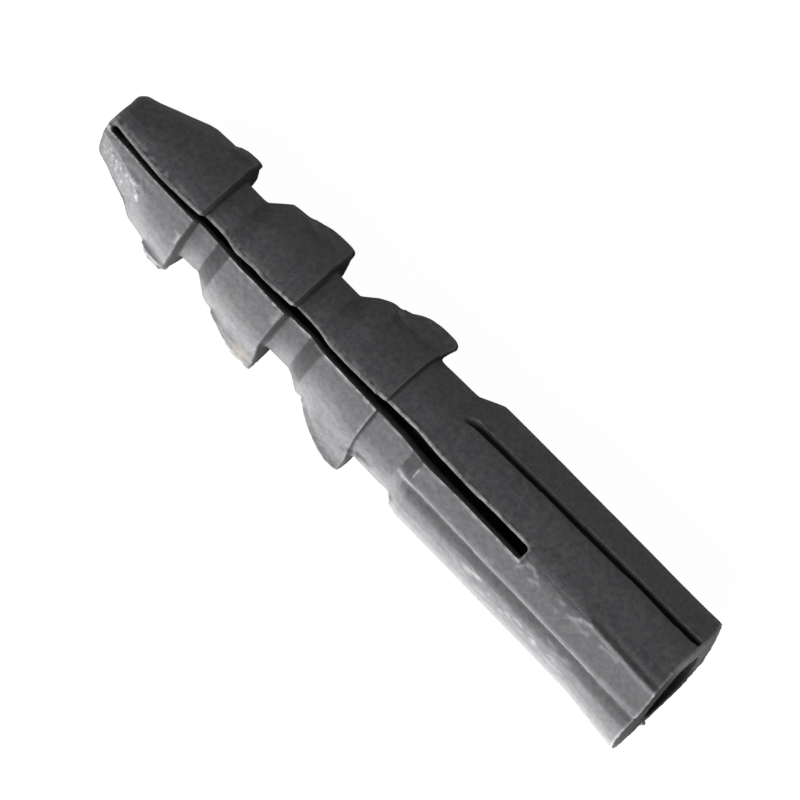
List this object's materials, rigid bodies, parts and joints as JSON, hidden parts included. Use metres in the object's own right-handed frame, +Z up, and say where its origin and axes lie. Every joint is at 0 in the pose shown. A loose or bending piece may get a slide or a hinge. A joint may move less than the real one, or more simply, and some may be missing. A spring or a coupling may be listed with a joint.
{
  "type": "plastic wall plug",
  "caption": "One-piece moulded wall plug: fluted barrel with a screw bore, and two barbed legs parted by a long slot that ends in a thin web at a tapered nose.",
  "frame": {"origin": "centre of the mouth of the bore, on the plug's axis, in the plane of the mouth face", "axes": "+X along the axis, out of the mouth, with the tip at -X; +Z up from the surface that the plug lies on, on one flat of its section; +Y across, to the side that the slot leans away from"},
  "size_m": [0.04, 0.0086, 0.0072],
  "materials": {
    "nylon": "dark grey moulded nylon, matte, with fine mould texture and light scuffs"
  },
  "bodies": {
    "root": {"wall_plug": "nylon"}
  },
  "joints": []
}
